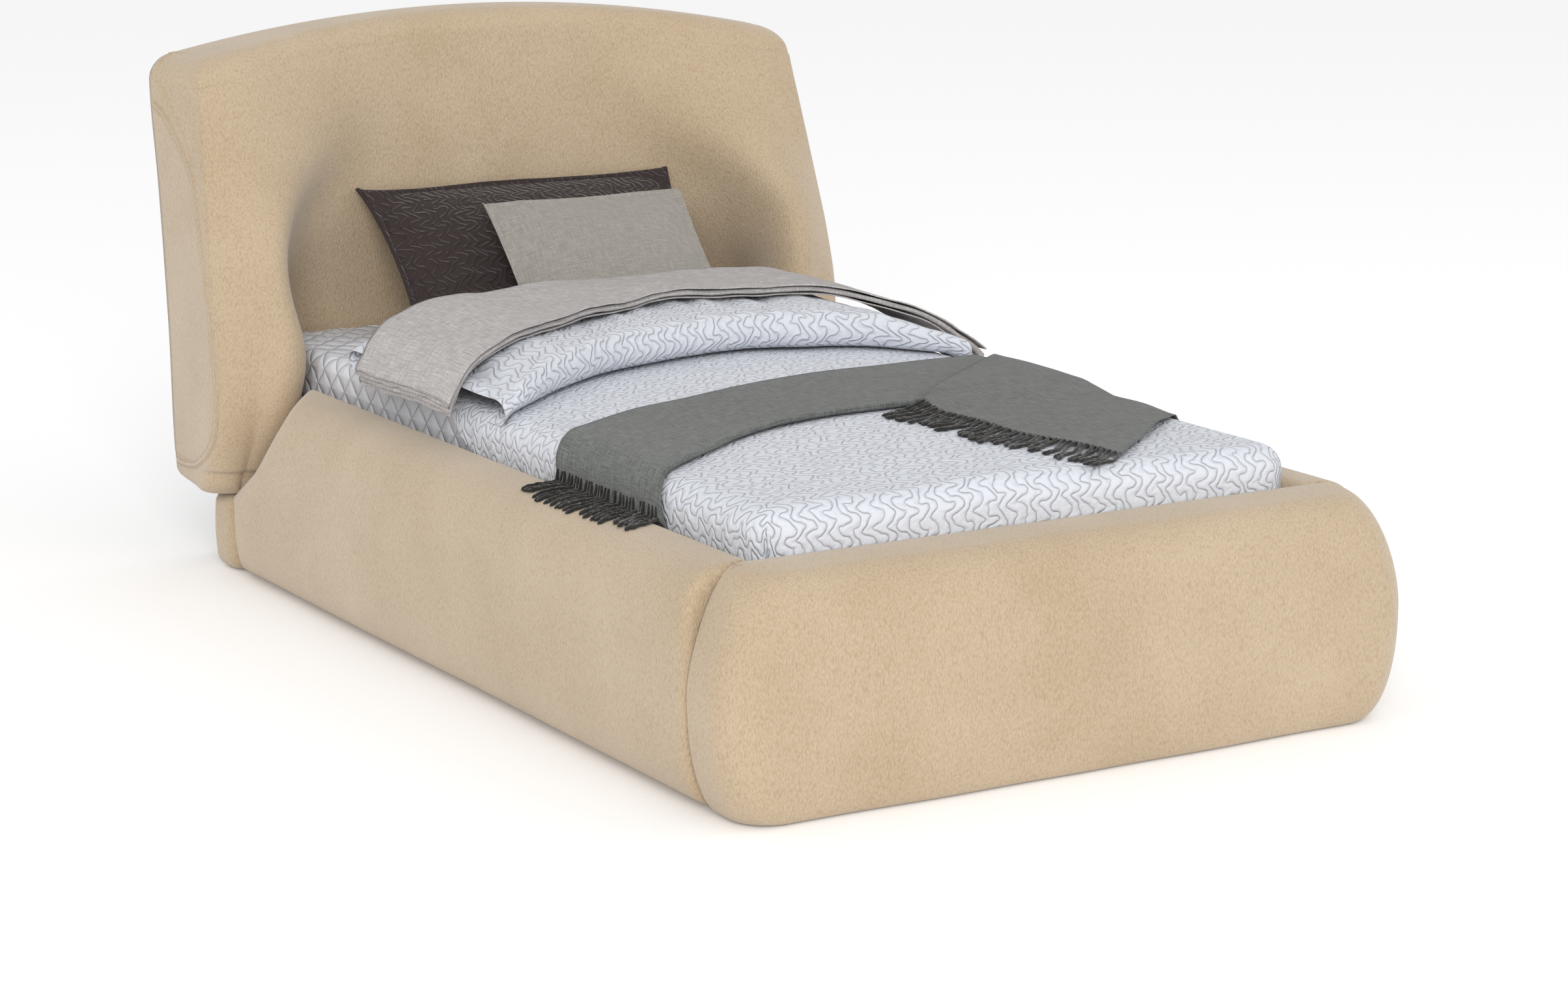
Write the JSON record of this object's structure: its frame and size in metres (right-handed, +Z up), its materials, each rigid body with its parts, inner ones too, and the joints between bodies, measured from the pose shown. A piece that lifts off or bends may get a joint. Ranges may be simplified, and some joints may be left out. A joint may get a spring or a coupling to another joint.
{
  "type": "upholstered twin bed",
  "caption": "Upholstered twin bed with a curved winged headboard, padded side rails and footboard, slatted base, mattress, quilted coverlet, blanket, fringed throw and pillows.",
  "frame": {"origin": "on the floor, under the middle of the bed's bounding box", "axes": "+X across the bed, to the right of a person at its foot who faces the headboard; +Y along the bed, towards the headboard; +Z up"},
  "size_m": [1.3278, 2.175, 1.0295],
  "materials": {
    "upholstery": "short curly pile, matt",
    "back_cloth": "plain matt cloth",
    "timber": "planed softwood, unfinished",
    "plywood": "birch plywood, light sealer",
    "zinc_steel": "zinc plated",
    "black_steel": "satin black",
    "brass": "plain brass",
    "foot_plastic": "matt",
    "glide_plastic": "matt",
    "webbing": "woven tape",
    "mattress_ticking": "knitted ticking",
    "pad_cotton": "diamond quilted cotton",
    "coverlet_cotton": "meander quilted cotton",
    "blanket_linen": "slubby linen",
    "throw_wool": "brushed twill with twisted fringe",
    "sham_satin": "quilted satin with piping",
    "cushion_linen": "brushed linen"
  },
  "bodies": {
    "bed_frame": {"head_pad": "upholstery", "head_side_panel_left": "upholstery", "head_side_panel_right": "upholstery", "head_back_panel": "back_cloth", "head_stile_left": "timber", "head_stile_right": "timber", "head_top_rail": "timber", "head_mid_rail": "timber", "head_bottom_rail": "timber", "wing_former_left": "plywood", "wing_former_right": "plywood", "head_leg_left": "plywood", "head_leg_right": "plywood", "plinth_pad_left": "upholstery", "plinth_pad_right": "upholstery", "rail_board_left": "plywood", "rail_board_right": "plywood", "rail_pad_left": "upholstery", "rail_pad_right": "upholstery", "slat_ledge_left": "timber", "slat_ledge_right": "timber", "footboard_board": "plywood", "footboard_pad": "upholstery", "foot_bracket_left": "zinc_steel", "foot_bracket_right": "zinc_steel", "head_bracket_left": "zinc_steel", "head_bracket_right": "zinc_steel", "frame_bolts": "black_steel", "frame_inserts": "brass", "centre_beam": "timber", "beam_cradle_foot": "zinc_steel", "beam_cradle_head": "zinc_steel", "floor_glides": "glide_plastic", "slat_webbing": "webbing", "wood_screws": "zinc_steel", "slat_1": "plywood", "slat_2": "plywood", "slat_3": "plywood", "slat_4": "plywood", "slat_5": "plywood", "slat_6": "plywood", "slat_7": "plywood", "slat_8": "plywood", "slat_9": "plywood", "slat_10": "plywood", "slat_11": "plywood", "centre_leg_1": "black_steel", "centre_leg_2": "black_steel", "centre_leg_3": "black_steel"},
    "foot_screw_1": {"levelling_foot_1": "foot_plastic"},
    "foot_screw_2": {"levelling_foot_2": "foot_plastic"},
    "foot_screw_3": {"levelling_foot_3": "foot_plastic"},
    "mattress_set": {"mattress": "mattress_ticking", "mattress_pad": "pad_cotton", "coverlet": "coverlet_cotton", "blanket": "blanket_linen", "throw": "throw_wool"},
    "dark_pillow": {"pillow_dark": "sham_satin"},
    "light_pillow": {"pillow_light": "cushion_linen"}
  },
  "joints": [
    {"name": "mattress_lift", "type": "slide", "parent": "bed_frame", "child": "mattress_set", "axis": [0, 0, 1], "range_m": [0, 0.19]},
    {"name": "dark_pillow_lift", "type": "slide", "parent": "mattress_set", "child": "dark_pillow", "axis": [0, 0, 1], "range_m": [0, 0.12]},
    {"name": "light_pillow_lift", "type": "slide", "parent": "dark_pillow", "child": "light_pillow", "axis": [0, 0, 1], "range_m": [0, 0.12]},
    {"name": "levelling_screw_1", "type": "slide", "parent": "bed_frame", "child": "foot_screw_1", "axis": [0, 0, 1], "range_m": [-0.01, 0.012]},
    {"name": "levelling_screw_2", "type": "slide", "parent": "bed_frame", "child": "foot_screw_2", "axis": [0, 0, 1], "range_m": [-0.01, 0.012]},
    {"name": "levelling_screw_3", "type": "slide", "parent": "bed_frame", "child": "foot_screw_3", "axis": [0, 0, 1], "range_m": [-0.01, 0.012]}
  ]
}
